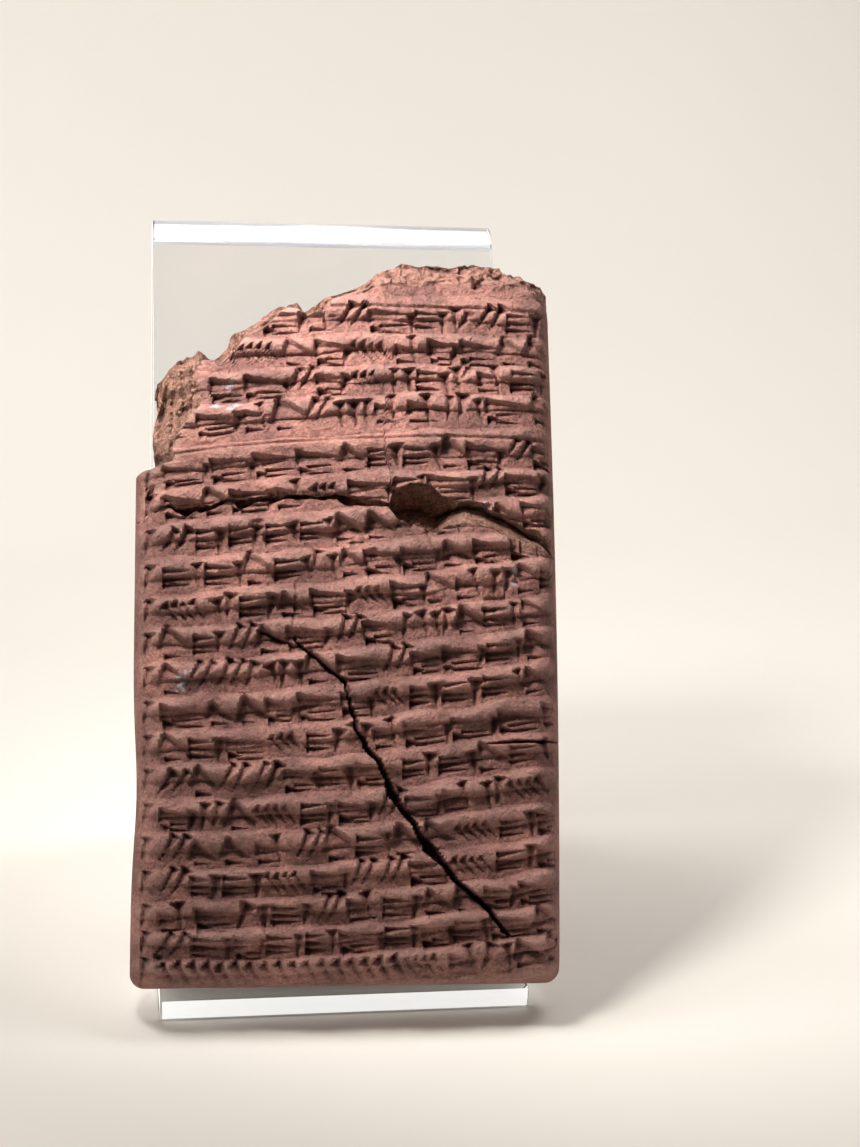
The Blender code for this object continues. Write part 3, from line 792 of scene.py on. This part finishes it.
# The worn face: two browns, then mottle and grit over them
browns = [(0.36, linear(CLAY_BROWN)), (0.64, linear(CLAY_WARM))]
tone = add_node(tree, "ShaderNodeValToRGB", {"stops": browns}, Fac=blotch).outputs["Color"]
stops = [(0.34, MOTTLE_DARK), (0.52, SAME), (0.70, MOTTLE_PALE)]
speckle = add_node(tree, "ShaderNodeValToRGB", {"stops": stops}, Fac=mottle).outputs["Color"]
tone = add_node(tree, "ShaderNodeMix", multiply, in0=0.8, in6=tone, in7=speckle).outputs[2]
stops = [(0.32, GRIT_DARK), (0.50, SAME), (0.70, GRIT_PALE)]
grains = add_node(tree, "ShaderNodeValToRGB", {"stops": stops}, Fac=grit).outputs["Color"]
tone = add_node(tree, "ShaderNodeMix", multiply, in0=0.7, in6=tone, in7=grains).outputs[2]

# Broken clay: paler and redder, and painted paler still as a highlight, with the low spots between its crumbs
# painted dark as shade
stops = [(0.38, CRUMB_DARK), (0.52, SAME), (0.66, CRUMB_PALE)]
crumbs_and_shade = add_node(tree, "ShaderNodeValToRGB", {"stops": stops}, Fac=crumb).outputs["Color"]
broken = add_node(tree, "ShaderNodeMix", multiply, in0=0.5, in6=linear(CLAY_FRESH_AND_HIGHLIGHT), in7=grains).outputs[2]
broken = add_node(tree, "ShaderNodeMix", multiply, in0=0.85, in6=broken, in7=crumbs_and_shade).outputs[2]
broken_share = add_node(tree, "ShaderNodeMath", {"operation": "MULTIPLY"}, in0=fresh, in1=0.90).outputs[0]
tone = add_node(tree, "ShaderNodeMix", mix, in0=broken_share, in6=tone, in7=broken).outputs[2]

# A pale dusty film and a painted highlight on what stands proud, dark grime and painted shade in what lies
# low, and salt
dust_and_highlight = add_node(tree, "ShaderNodeMapRange", Value=proud, in1=0.1, in2=1.0, in3=0.0, in4=0.45).outputs[0]
tone = add_node(tree, "ShaderNodeMix", mix, in0=dust_and_highlight, in6=tone, in7=linear(CLAY_DUST_AND_HIGHLIGHT)).outputs[2]
dirt_and_shade = add_node(tree, "ShaderNodeMapRange", Value=proud, in1=-0.15, in2=-1.0, in3=0.0, in4=0.55).outputs[0]
tone = add_node(tree, "ShaderNodeMix", mix, in0=dirt_and_shade, in6=tone, in7=linear(CLAY_DIRT_AND_SHADE)).outputs[2]
tone = add_node(tree, "ShaderNodeMix", mix, in0=crust, in6=tone, in7=linear(CLAY_SALT)).outputs[2]
tree.links.new(tone, shader.inputs["Base Color"])
rough = add_node(tree, "ShaderNodeMapRange", Value=mottle, in1=0.3, in2=0.7, in3=0.80, in4=0.95).outputs[0]
tree.links.new(rough, shader.inputs["Roughness"])

# Relief too fine for the mesh: grit, mottle, pores, and crumbs where the clay is broken
pores = add_node(tree, "ShaderNodeTexVoronoi", Vector=where, Scale=1.0 / PORE_SPACING).outputs["Distance"]
pits = add_node(tree, "ShaderNodeMapRange", Value=pores, in1=0.05, in2=0.25, in3=0.0, in4=1.0).outputs[0]
crumbly = add_node(tree, "ShaderNodeMath", {"operation": "MULTIPLY"}, in0=crumb, in1=fresh).outputs[0]
normal = add_node(tree, "ShaderNodeBump", Strength=1.0, Distance=0.00030, Height=grit).outputs["Normal"]
for strength, distance, height in ((1.0, 0.00080, mottle), (0.6, 0.0002, pits), (1.0, 0.0020, crumbly)):
    normal = add_node(tree, "ShaderNodeBump", Strength=strength, Distance=distance, Height=height,
                      Normal=normal).outputs["Normal"]
tree.links.new(normal, shader.inputs["Normal"])


def add_piece(name, mesh, material):
    piece = bpy.data.objects.new(name, mesh)
    bpy.context.scene.collection.objects.link(piece)
    mesh.materials.append(material)
    return piece


marks = strokes()

# THE LOWER FRAGMENT
# Two thirds of the tablet, of the same fired clay, with the whole bottom edge. It stands in the
# stand's foot and isn't fastened.
LOWER_RIM_LINES = 24
LOWER_FACE_LINES = 372
LOWER_BREAK_LINES = 20

lower_skin = skin_points("lower", LOWER_RIM_LINES, LOWER_FACE_LINES, LOWER_BREAK_LINES, marks)
lower_mesh = skin_mesh("lower_fragment_clay", *lower_skin)
seat(lower_mesh)
lower_fragment = add_piece("lower_fragment_clay", lower_mesh, fired_clay)
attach(lower_fragment, "root")
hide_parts("tablet_lower_fragment")

# THE UPPER FRAGMENT
# The rest of the tablet, of the same fired clay, broken along its top and its upper left. It rests
# on the lower one, where the break fits.
UPPER_BREAK_LINES = 24
UPPER_FACE_LINES = 264
UPPER_TOP_LINES = 28

upper_skin = skin_points("upper", UPPER_BREAK_LINES, UPPER_FACE_LINES, UPPER_TOP_LINES, marks)
upper_mesh = skin_mesh("upper_fragment_clay", *upper_skin)
seat(upper_mesh)
upper_fragment = add_piece("upper_fragment_clay", upper_mesh, fired_clay)
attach(upper_fragment, "root")
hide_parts("tablet_upper_fragment")


# THE STAND
# One strip of clear cast acrylic sheet, 4 mm thick, heated along two lines and bent: a short
# foot in front, a leaning plate behind the tablet and a rear leg down from the top.
SHEET = 0.0040
STAND_WIDTH = 0.0670
FOOT_DEPTH = 0.0150
PLATE_LENGTH = 0.1375
PLATE_LEAN = math.radians(20.0)
LEG_LEAN = math.radians(12.0)
INNER_BEND = 0.0015
BEND_STEPS = 24
SHEET_EDGE_BEVEL = 0.00035
CUT_EDGE_ANGLE = math.radians(60.0)
SHEET_SHARP_ANGLE = math.radians(35.0)
FACES, SAWN_EDGES, TOP_BEND = 0, 1, 2


def stand_path():
    """Middle line of the bent sheet as (y, z) points, from the foot's front edge to the leg's end."""
    radius = INNER_BEND + SHEET / 2
    foot_turn = math.pi / 2 - PLATE_LEAN
    top_turn = math.pi - PLATE_LEAN - LEG_LEAN
    straight = FOOT_DEPTH + SHEET / 2 * math.tan(foot_turn / 2) - radius * math.tan(foot_turn / 2)
    place = Vector((-FOOT_DEPTH / 2, SHEET / 2))
    heading = 0.0
    points = [place.copy()]
    for length, turn in ((straight, foot_turn), (PLATE_LENGTH, top_turn)):
        place = place + length * Vector((math.cos(heading), math.sin(heading)))
        points.append(place.copy())
        side = 1.0 if turn == foot_turn else -1.0
        centre = place + side * radius * Vector((-math.sin(heading), math.cos(heading)))
        for step in range(1, BEND_STEPS + 1):
            arc = side * turn * step / BEND_STEPS
            points.append(centre + Matrix.Rotation(arc, 2) @ (place - centre))
        place = points[-1].copy()
        heading += side * turn
    drop = place.y - SHEET / 2 * math.sin(LEG_LEAN)
    points.append(place + drop / math.cos(LEG_LEAN) * Vector((math.cos(heading), math.sin(heading))))
    return points


def stand_mesh():
    """The sheet swept along its middle line, its faces, sawn edges and top bend told apart."""
    path = stand_path()
    half = SHEET / 2
    shape = bmesh.new()
    rings = []
    for index, point in enumerate(path):
        before = path[max(index - 1, 0)]
        after = path[min(index + 1, len(path) - 1)]
        heading = (after - before).normalized()
        upright = Vector((-heading.y, heading.x))
        if index in (0, len(path) - 1):
            stretch = 1.0
        else:
            stretch = 1.0 / max(math.cos(0.5 * (point - before).angle(after - point, 0.0)), 0.5)
        ring = []
        for x, way in ((-1, -1), (1, -1), (1, 1), (-1, 1)):
            y, z = point + way * half * stretch * upright
            ring.append(shape.verts.new((x * STAND_WIDTH / 2, y, z)))
        rings.append(ring)
    top_bend = range(len(path) - 2 - BEND_STEPS, len(path) - 2)
    for index, (near, far) in enumerate(zip(rings, rings[1:])):
        for corner in range(4):
            other = (corner + 1) % 4
            face = shape.faces.new((near[corner], near[other], far[other], far[corner]))
            if corner in (1, 3):
                face.material_index = SAWN_EDGES
            else:
                face.material_index = TOP_BEND if index in top_bend else FACES
    for ring in (rings[0][::-1], rings[-1]):
        shape.faces.new(ring).material_index = SAWN_EDGES
    bmesh.ops.recalc_face_normals(shape, faces=shape.faces)
    sharp = [edge for edge in shape.edges if edge.calc_face_angle(0.0) > CUT_EDGE_ANGLE]
    bmesh.ops.bevel(shape, geom=sharp, offset=SHEET_EDGE_BEVEL, segments=3, profile=0.5,
                    affect="EDGES", clamp_overlap=True)
    for face in shape.faces:
        face.smooth = True
    mesh = bpy.data.meshes.new("clear_stand")
    shape.to_mesh(mesh)
    shape.free()
    mesh.set_sharp_from_angle(angle=SHEET_SHARP_ANGLE)
    return mesh


# Cast acrylic, polished on its faces: glass clear and nearly without colour, with a few hairline
# scratches. Real ones are far finer, and they are drawn as streaks of about 6 by 0.4 mm.
ACRYLIC_CLEAR = "#FFFFFF"
ACRYLIC_COOL = "#FAFCFC"
ACRYLIC_CLOUD_SIZE = 0.030
SCRATCH_LENGTH = 0.0060
SCRATCH_STRETCH = 14.0

clear_acrylic, tree, shader, where = new_material("clear_acrylic_polished")
shader.inputs["Transmission Weight"].default_value = 1.0
shader.inputs["IOR"].default_value = 1.49
shader.inputs["Roughness"].default_value = 0.02
waves = add_node(tree, "ShaderNodeTexNoise", Vector=where, Scale=1.0 / ACRYLIC_CLOUD_SIZE,
                 Detail=1.0).outputs["Fac"]
stops = [(0.3, linear(ACRYLIC_COOL)), (0.7, linear(ACRYLIC_CLEAR))]
tint = add_node(tree, "ShaderNodeValToRGB", {"stops": stops}, Fac=waves).outputs["Color"]
tree.links.new(tint, shader.inputs["Base Color"])
stretched = add_node(tree, "ShaderNodeMapping", Vector=where,
                     Scale=(1.0, SCRATCH_STRETCH, SCRATCH_STRETCH)).outputs["Vector"]
hairs = add_node(tree, "ShaderNodeTexNoise", Vector=stretched, Scale=1.0 / SCRATCH_LENGTH, Detail=4.0,
                 Roughness=0.8).outputs["Fac"]
scratched = add_node(tree, "ShaderNodeBump", Strength=0.04, Distance=0.0001, Height=hairs).outputs["Normal"]
tree.links.new(scratched, shader.inputs["Normal"])

# Sawn acrylic: the cut edges are only eased, so they scatter the light that the sheet carries and
# look white and faintly streaked. A weak glow stands in for that light.
SAWN_GLOW = "#F6F8F8"
SAWN_GLOW_STRENGTH = 0.70
SAWN_DULL = "#EEF4F3"
SAWN_WHITE = "#FFFFFF"
SAW_MARK_SIZE = 0.004
SAW_MARK_STRETCH = 12.0

sawn_acrylic, tree, shader, where = new_material("clear_acrylic_sawn_edge")
shader.inputs["Transmission Weight"].default_value = 0.20
shader.inputs["IOR"].default_value = 1.49
shader.inputs["Emission Color"].default_value = linear(SAWN_GLOW)
shader.inputs["Emission Strength"].default_value = SAWN_GLOW_STRENGTH
stretched = add_node(tree, "ShaderNodeMapping", Vector=where,
                     Scale=(1.0, 1.0, SAW_MARK_STRETCH)).outputs["Vector"]
saw = add_node(tree, "ShaderNodeTexNoise", Vector=stretched, Scale=1.0 / SAW_MARK_SIZE,
               Detail=4.0).outputs["Fac"]
frost = add_node(tree, "ShaderNodeMapRange", Value=saw, in1=0.3, in2=0.7, in3=0.25, in4=0.5).outputs[0]
tree.links.new(frost, shader.inputs["Roughness"])
stops = [(0.3, linear(SAWN_DULL)), (0.7, linear(SAWN_WHITE))]
white = add_node(tree, "ShaderNodeValToRGB", {"stops": stops}, Fac=saw).outputs["Color"]
tree.links.new(white, shader.inputs["Base Color"])

# Heat-bent acrylic: the light that the sheet carries leaves it where it is bent over the top, so
# the bend looks white, and its softened skin is faintly rippled. A weak glow stands in for that.
BEND_GLOW = "#F0F3FC"
BEND_GLOW_STRENGTH = 0.10
BEND_MILKY = "#E6EAF2"
BEND_WHITE = "#FFFFFF"
RIPPLE_SIZE = 0.012
RIPPLE_STRETCH = 6.0

bent_acrylic, tree, shader, where = new_material("clear_acrylic_heat_bent")
shader.inputs["Transmission Weight"].default_value = 0.75
shader.inputs["IOR"].default_value = 1.49
shader.inputs["Emission Color"].default_value = linear(BEND_GLOW)
shader.inputs["Emission Strength"].default_value = BEND_GLOW_STRENGTH
drawn = add_node(tree, "ShaderNodeMapping", Vector=where,
                 Scale=(1.0, RIPPLE_STRETCH, RIPPLE_STRETCH)).outputs["Vector"]
ripple = add_node(tree, "ShaderNodeTexNoise", Vector=drawn, Scale=1.0 / RIPPLE_SIZE,
                  Detail=3.0).outputs["Fac"]
haze = add_node(tree, "ShaderNodeMapRange", Value=ripple, in1=0.3, in2=0.7, in3=0.04, in4=0.18).outputs[0]
tree.links.new(haze, shader.inputs["Roughness"])
stops = [(0.3, linear(BEND_MILKY)), (0.7, linear(BEND_WHITE))]
milky = add_node(tree, "ShaderNodeValToRGB", {"stops": stops}, Fac=ripple).outputs["Color"]
tree.links.new(milky, shader.inputs["Base Color"])
waved = add_node(tree, "ShaderNodeBump", Strength=0.3, Distance=0.0003, Height=ripple).outputs["Normal"]
tree.links.new(waved, shader.inputs["Normal"])

clear_stand = add_piece("clear_stand", stand_mesh(), clear_acrylic)
clear_stand.data.materials.append(sawn_acrylic)
clear_stand.data.materials.append(bent_acrylic)
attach(clear_stand, "root")
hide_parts("acrylic_stand")


# THE STUDIO
# A plain pale sweep under and behind the tablet, one small lamp from the upper left, and wide soft
# light from above, from the front and from both sides.
SWEEP_HALF_WIDTH = 1.6
SWEEP_FRONT = -1.2
SWEEP_BACK = 0.75
SWEEP_HEIGHT = 1.6
SWEEP_RADIUS = 0.35
SWEEP_STEPS = 24
PAINT_SHADE = "#F2EFE6"
PAINT_PALE = "#F6F3EA"
PAINT_CLOUD_SIZE = 1.0 / 3.0


def sweep_mesh():
    shape = bmesh.new()
    line = [(SWEEP_FRONT, 0.0), (SWEEP_BACK - SWEEP_RADIUS, 0.0)]
    for step in range(1, SWEEP_STEPS + 1):
        turn = 0.5 * math.pi * step / SWEEP_STEPS
        back = SWEEP_BACK - SWEEP_RADIUS * (1.0 - math.sin(turn))
        line.append((back, SWEEP_RADIUS * (1.0 - math.cos(turn))))
    line.append((SWEEP_BACK, SWEEP_HEIGHT))
    rows = [[shape.verts.new((x, y, z)) for x in (-SWEEP_HALF_WIDTH, SWEEP_HALF_WIDTH)] for y, z in line]
    for near, far in zip(rows, rows[1:]):
        shape.faces.new((near[0], near[1], far[1], far[0])).smooth = True
    mesh = bpy.data.meshes.new("pale_sweep")
    shape.to_mesh(mesh)
    shape.free()
    return mesh


# Matt paint on board: a warm white with faint clouds, so that the floor isn't one flat colour
painted_board, tree, shader, where = new_material("pale_painted_board")
shader.inputs["Roughness"].default_value = 0.85
cloud = add_node(tree, "ShaderNodeTexNoise", Vector=where, Scale=1.0 / PAINT_CLOUD_SIZE,
                 Detail=2.0).outputs["Fac"]
stops = [(0.3, linear(PAINT_SHADE)), (0.7, linear(PAINT_PALE))]
paint = add_node(tree, "ShaderNodeValToRGB", {"stops": stops}, Fac=cloud).outputs["Color"]
tree.links.new(paint, shader.inputs["Base Color"])
sweep = add_piece("pale_sweep", sweep_mesh(), painted_board)


def add_light(name, place, aim, size, power, colour):
    lamp = bpy.data.lights.new(name, "AREA")
    lamp.shape = "DISK"
    lamp.size = size
    lamp.energy = power
    lamp.color = linear(colour)[:3]
    item = bpy.data.objects.new(name, lamp)
    item.location = place
    item.rotation_euler = (Vector(aim) - Vector(place)).to_track_quat("-Z", "Y").to_euler()
    item.visible_camera = False
    bpy.context.scene.collection.objects.link(item)
    return item


# A small lamp from the upper left throws the strokes' shadows. It is kept out of reflections, where
# its glare would hide the sheet.
key_light = add_light("light_above", (-0.065, -0.040, 0.228), (0.0, 0.028, 0.125), 0.045, 0.122, "#FFFAF6")
key_light.data.spread = math.radians(77.0)
key_light.visible_glossy = False
key_light.visible_transmission = False
add_light("light_ceiling", (0.0, -0.05, 1.40), (0.0, -0.05, 0.0), 0.70, 2.1, "#FFFBF8")
add_light("light_front", (-0.45, -0.95, 0.55), (0.0, 0.0, 0.06), 0.60, 0.15, "#FFFAF4")
for side in (-1, 1):
    side_power = 0.75 - 0.45 * side
    add_light("light_side", (0.60 * side, -0.05, 0.30), (0.0, 0.0, 0.07), 0.30, side_power, "#FFF9F2")
    backdrop_power = 2.10 - 0.15 * side
    backdrop_light = add_light("light_backdrop", (0.45 * side, 0.10, 1.00), (0.25 * side, 0.55, 0.05), 0.40,
                               backdrop_power, "#FFF9FA")
    backdrop_light.data.spread = math.radians(115.0)

world = bpy.data.worlds.new("soft_room")
bpy.context.scene.world = world
world.use_nodes = True
world.node_tree.nodes["Background"].inputs["Color"].default_value = linear("#F6F0E8")
world.node_tree.nodes["Background"].inputs["Strength"].default_value = 0.07
